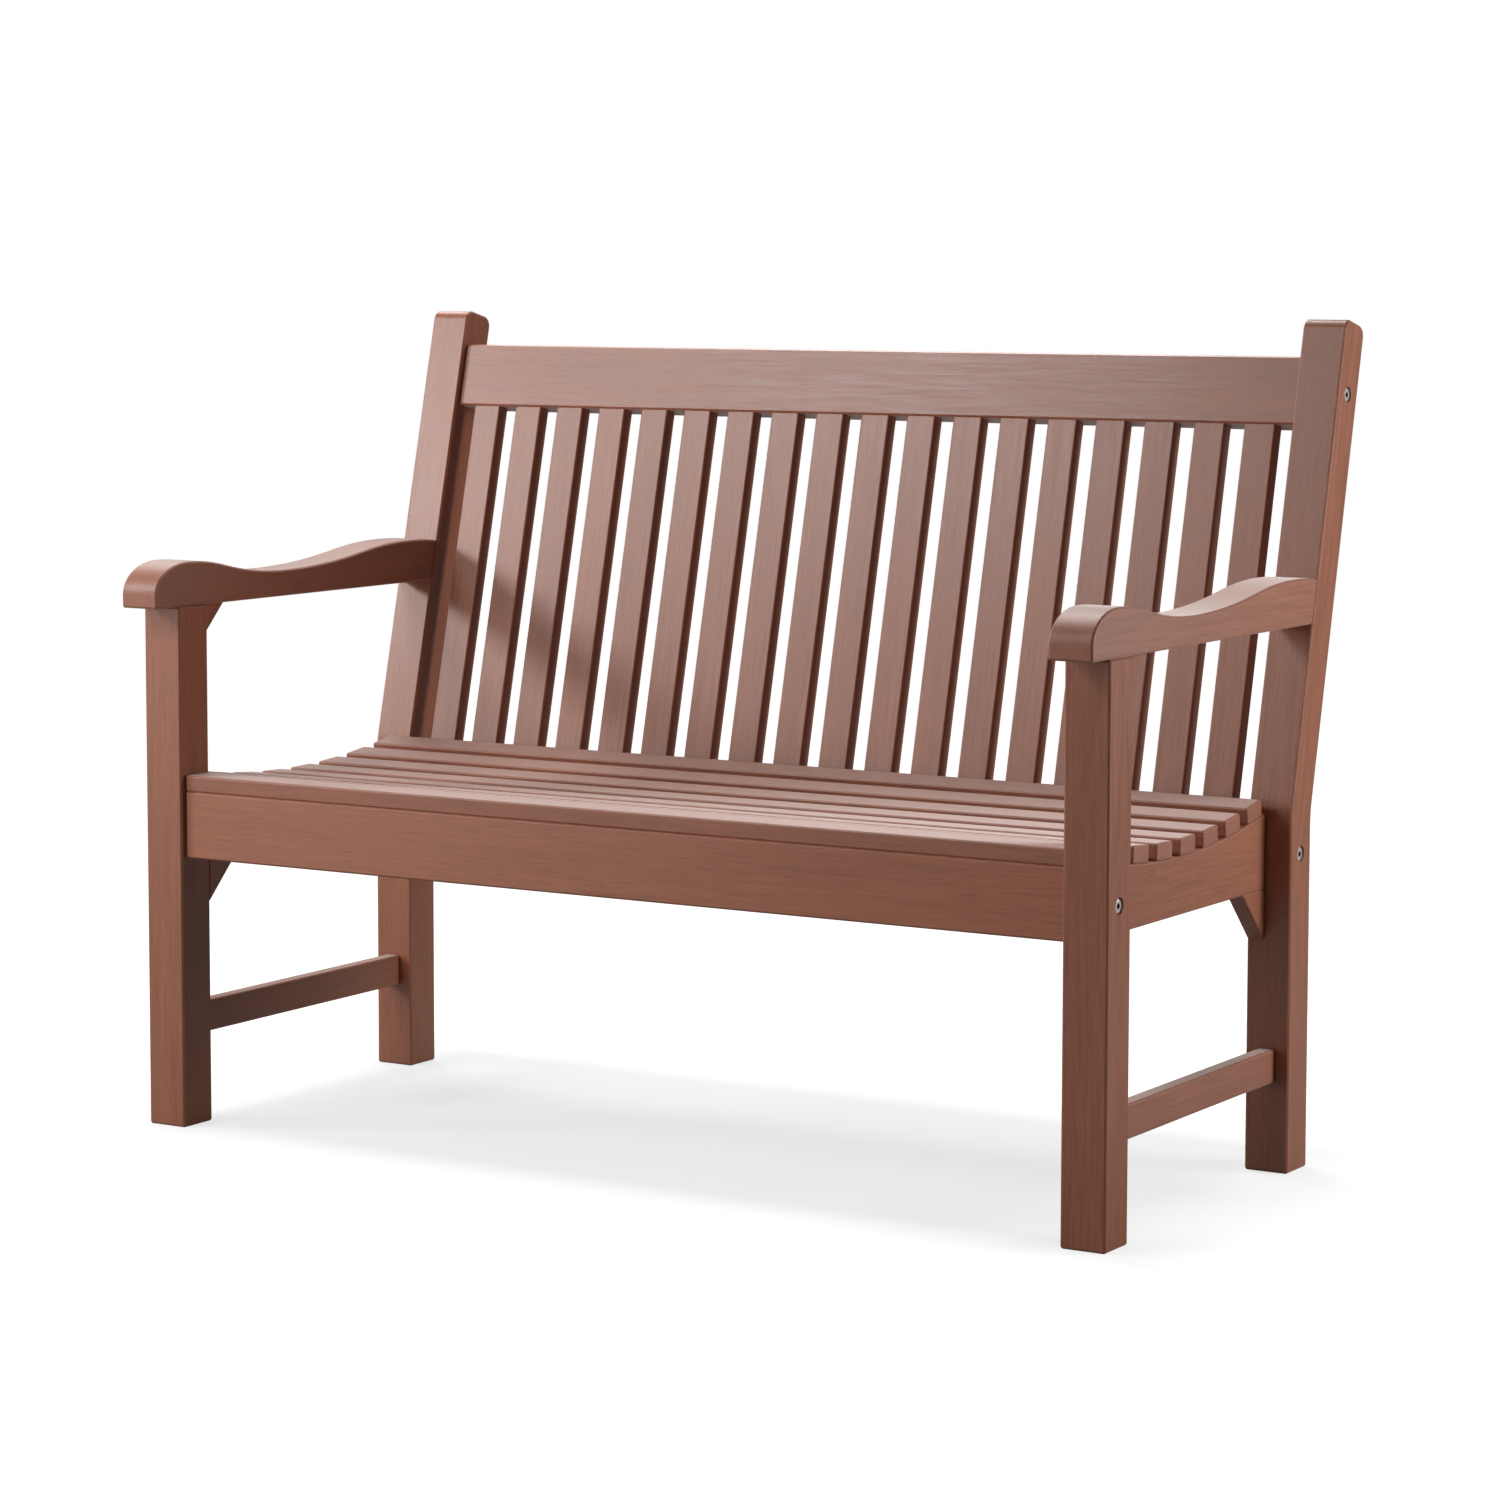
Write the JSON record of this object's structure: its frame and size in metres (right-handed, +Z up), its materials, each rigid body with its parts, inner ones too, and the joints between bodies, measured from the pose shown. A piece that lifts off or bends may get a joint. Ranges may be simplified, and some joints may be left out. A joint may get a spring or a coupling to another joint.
{
  "type": "outdoor bench",
  "caption": "Slatted garden bench with a raked back, a dished seat and curved arm rests, in wood-look poly lumber.",
  "frame": {"origin": "on the floor, in the middle of the bench's width and depth", "axes": "+X along the bench, to the right as seen from in front; +Y from the seat's front to the back rest; +Z up. Left and right in names are as seen from in front."},
  "size_m": [1.2, 0.6402, 0.9065],
  "materials": {
    "lumber": "satin, wood-grain texture along each piece",
    "steel": "bright zinc plated"
  },
  "bodies": {
    "root": {"arm_block_left": "lumber", "arm_block_right": "lumber", "arm_left": "lumber", "arm_right": "lumber", "back_rail": "lumber", "back_slat_01": "lumber", "back_slat_02": "lumber", "back_slat_03": "lumber", "back_slat_04": "lumber", "back_slat_05": "lumber", "back_slat_06": "lumber", "back_slat_07": "lumber", "back_slat_08": "lumber", "back_slat_09": "lumber", "back_slat_10": "lumber", "back_slat_11": "lumber", "back_slat_12": "lumber", "back_slat_13": "lumber", "back_slat_14": "lumber", "back_slat_15": "lumber", "back_slat_16": "lumber", "back_slat_17": "lumber", "back_slat_18": "lumber", "barrel_nuts": "steel", "centre_rail": "lumber", "frame_bolts": "steel", "front_block_left": "lumber", "front_block_right": "lumber", "front_leg_left": "lumber", "front_leg_right": "lumber", "front_rail": "lumber", "rear_block_left": "lumber", "rear_block_right": "lumber", "rear_post_left": "lumber", "rear_post_right": "lumber", "seat_slat_1": "lumber", "seat_slat_2": "lumber", "seat_slat_3": "lumber", "seat_slat_4": "lumber", "seat_slat_5": "lumber", "seat_slat_6": "lumber", "seat_slat_7": "lumber", "seat_slat_8": "lumber", "side_rail_left": "lumber", "side_rail_right": "lumber", "stretcher_left": "lumber", "stretcher_right": "lumber", "top_rail": "lumber"}
  },
  "joints": []
}
